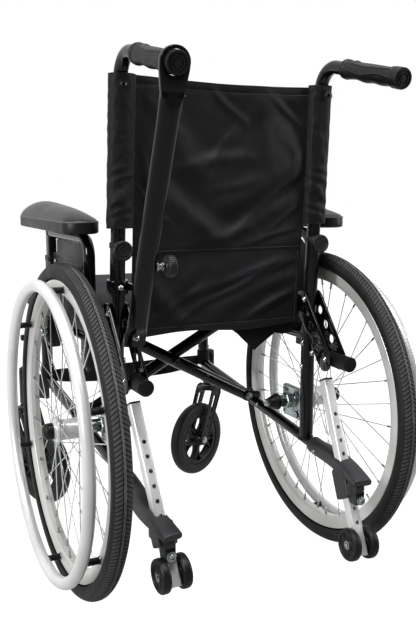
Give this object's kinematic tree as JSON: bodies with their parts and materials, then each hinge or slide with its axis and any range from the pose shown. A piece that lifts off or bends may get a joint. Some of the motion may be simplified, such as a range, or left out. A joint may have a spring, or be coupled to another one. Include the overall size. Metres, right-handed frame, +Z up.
{
  "type": "wheelchair",
  "caption": "Folding manual wheelchair with push rims, cross brace, swivel casters, padded armrests, height-adjustable push handles and drilled anti-tip tubes.",
  "frame": {"origin": "on the floor, under the middle of the chair's bounding box", "axes": "+Z up, +X towards the occupant's left, +Y towards the rear, where the push handles are"},
  "size_m": [0.654, 0.8514, 0.967],
  "materials": {
    "frame_paint": "gloss black paint",
    "black_plastic": "fine textured black",
    "black_rubber": "matt black",
    "tyre_rubber": "matt dark grey",
    "silver": "satin anodised",
    "chrome": "bright",
    "back_cloth": "woven nylon",
    "seat_cloth": "woven cover",
    "vinyl": "soft sheen"
  },
  "bodies": {
    "left_frame": {"left_side_frame": "frame_paint", "left_axle_mount": "chrome", "left_rear_bracket": "frame_paint", "left_tip_lever_cap": "black_rubber", "left_back_screw": "chrome", "left_anti_tip_shoe": "black_plastic", "left_brake_base": "frame_paint", "stabiliser_bracket": "frame_paint", "seat_sling": "back_cloth", "seat_cushion": "seat_cloth", "back_upholstery": "back_cloth", "calf_strap": "back_cloth"},
    "right_frame": {"right_side_frame": "frame_paint", "right_axle_mount": "chrome", "right_rear_bracket": "frame_paint", "right_tip_lever_cap": "black_rubber", "right_back_screw": "chrome", "right_anti_tip_shoe": "black_plastic", "right_brake_base": "frame_paint"},
    "front_cross_arm": {"cross_arm_b": "frame_paint", "cross_bolt": "frame_paint"},
    "rear_cross_arm": {"cross_arm_a": "frame_paint"},
    "left_handle": {"left_handle_post": "frame_paint", "left_grip": "black_rubber"},
    "left_height_lock": {"left_height_knob": "black_plastic"},
    "left_armrest": {"left_armrest_frame": "frame_paint", "left_side_panel": "black_plastic", "left_armrest_pad": "vinyl"},
    "left_anti_tipper": {"left_anti_tip_tube": "silver"},
    "left_anti_tip_pair": {"left_anti_tip_wheels": "black_rubber"},
    "left_rear_wheel": {"left_tyre": "tyre_rubber", "left_rim": "silver", "left_hub_and_spokes": "chrome", "left_push_rim": "silver"},
    "left_caster_swivel": {"left_caster_fork": "black_plastic"},
    "left_caster_roller": {"left_caster_tyre": "black_rubber", "left_caster_wheel": "black_plastic"},
    "left_wheel_lock": {"left_brake_lever": "frame_paint"},
    "right_handle": {"right_handle_post": "frame_paint", "right_grip": "black_rubber"},
    "right_height_lock": {"right_height_knob": "black_plastic"},
    "right_armrest": {"right_armrest_frame": "frame_paint", "right_side_panel": "black_plastic", "right_armrest_pad": "vinyl"},
    "right_anti_tipper": {"right_anti_tip_tube": "silver"},
    "right_anti_tip_pair": {"right_anti_tip_wheels": "black_rubber"},
    "right_rear_wheel": {"right_tyre": "tyre_rubber", "right_rim": "silver", "right_hub_and_spokes": "chrome", "right_push_rim": "silver"},
    "right_caster_swivel": {"right_caster_fork": "black_plastic"},
    "right_caster_roller": {"right_caster_tyre": "black_rubber", "right_caster_wheel": "black_plastic"},
    "right_wheel_lock": {"right_brake_lever": "frame_paint"},
    "stabiliser": {"stabiliser_bar": "frame_paint"},
    "stabiliser_lock": {"stabiliser_knob": "black_plastic"}
  },
  "joints": [
    {"name": "fold", "type": "hinge", "parent": "left_frame", "child": "front_cross_arm", "pos_m": [0.174, -0.0876, 0.285], "axis": [0, 1, 0], "range_deg": [0, 50], "deforming": ["seat_sling", "seat_cushion", "back_upholstery", "calf_strap"]},
    {"name": "cross_pivot", "type": "hinge", "parent": "front_cross_arm", "child": "rear_cross_arm", "pos_m": [0, -0.0726, 0.37917], "axis": [0, 1, 0], "range_deg": [-100, 0]},
    {"name": "right_cross_foot", "type": "hinge", "parent": "rear_cross_arm", "child": "right_frame", "pos_m": [-0.174, -0.0576, 0.285], "axis": [0, 1, 0], "range_deg": [0, 50]},
    {"name": "left_handle_height", "type": "slide", "parent": "left_frame", "child": "left_handle", "axis": [-0.0079, 0.0708, 0.9975], "range_m": [0, 0.1]},
    {"name": "left_height_knob_turn", "type": "hinge", "parent": "left_frame", "child": "left_height_lock", "pos_m": [0.19852, 0.0874, 0.636], "axis": [0, 1, 0], "continuous": true},
    {"name": "left_armrest_lift", "type": "slide", "parent": "left_frame", "child": "left_armrest", "axis": [0, 0, 1], "range_m": [0, 0.12]},
    {"name": "left_anti_tipper_height", "type": "slide", "parent": "left_frame", "child": "left_anti_tipper", "axis": [-0.0486, 0.4528, -0.8903], "range_m": [-0.006, 0.05]},
    {"name": "left_anti_tip_wheels_spin", "type": "hinge", "parent": "left_anti_tipper", "child": "left_anti_tip_pair", "pos_m": [0.18204, 0.35338, 0.12439], "axis": [0.9988, 0.022, -0.0433], "continuous": true},
    {"name": "left_wheel_spin", "type": "hinge", "parent": "left_frame", "child": "left_rear_wheel", "pos_m": [0.272, 0.0874, 0.305], "axis": [1, 0, 0], "continuous": true},
    {"name": "left_caster_turn", "type": "hinge", "parent": "left_frame", "child": "left_caster_swivel", "pos_m": [0.24, -0.3846, 0.2], "axis": [0, 0, 1], "continuous": true},
    {"name": "left_caster_spin", "type": "hinge", "parent": "left_caster_swivel", "child": "left_caster_roller", "pos_m": [0.21887, -0.33928, 0.093], "axis": [0.9063, 0.4226, 0], "continuous": true},
    {"name": "left_wheel_lock_turn", "type": "hinge", "parent": "left_frame", "child": "left_wheel_lock", "pos_m": [0.2298, -0.2176, 0.465], "axis": [1, 0, 0], "range_deg": [0, 14]},
    {"name": "right_handle_height", "type": "slide", "parent": "right_frame", "child": "right_handle", "axis": [0.0079, 0.0708, 0.9975], "range_m": [0, 0.1]},
    {"name": "right_height_knob_turn", "type": "hinge", "parent": "right_frame", "child": "right_height_lock", "pos_m": [-0.19852, 0.0874, 0.636], "axis": [0, 1, 0], "continuous": true},
    {"name": "right_armrest_lift", "type": "slide", "parent": "right_frame", "child": "right_armrest", "axis": [0, 0, 1], "range_m": [0, 0.12]},
    {"name": "right_anti_tipper_height", "type": "slide", "parent": "right_frame", "child": "right_anti_tipper", "axis": [0.0486, 0.4528, -0.8903], "range_m": [-0.012, 0.05]},
    {"name": "right_anti_tip_wheels_spin", "type": "hinge", "parent": "right_anti_tipper", "child": "right_anti_tip_pair", "pos_m": [-0.18107, 0.36244, 0.10659], "axis": [-0.9988, 0.022, -0.0433], "continuous": true},
    {"name": "right_wheel_spin", "type": "hinge", "parent": "right_frame", "child": "right_rear_wheel", "pos_m": [-0.272, 0.0874, 0.305], "axis": [1, 0, 0], "continuous": true},
    {"name": "right_caster_turn", "type": "hinge", "parent": "right_frame", "child": "right_caster_swivel", "pos_m": [-0.24, -0.3846, 0.2], "axis": [0, 0, 1], "continuous": true},
    {"name": "right_caster_spin", "type": "hinge", "parent": "right_caster_swivel", "child": "right_caster_roller", "pos_m": [-0.19487, -0.36307, 0.093], "axis": [0.4305, -0.9026, 0], "continuous": true},
    {"name": "right_wheel_lock_turn", "type": "hinge", "parent": "right_frame", "child": "right_wheel_lock", "pos_m": [-0.2298, -0.2176, 0.465], "axis": [1, 0, 0], "range_deg": [0, 14]},
    {"name": "stabiliser_swing", "type": "hinge", "parent": "left_handle", "child": "stabiliser", "pos_m": [0.1959, 0.41025, 0.9165], "axis": [0, 0.977, -0.213], "range_deg": [0, 60]},
    {"name": "stabiliser_knob_turn", "type": "hinge", "parent": "stabiliser", "child": "stabiliser_lock", "pos_m": [0.18054, 0.29526, 0.618], "axis": [1, 0, 0], "continuous": true}
  ],
  "couplings": [
    {"joint": "cross_pivot", "follows": "fold", "ratio": -2},
    {"joint": "right_cross_foot", "follows": "fold", "ratio": 1}
  ]
}
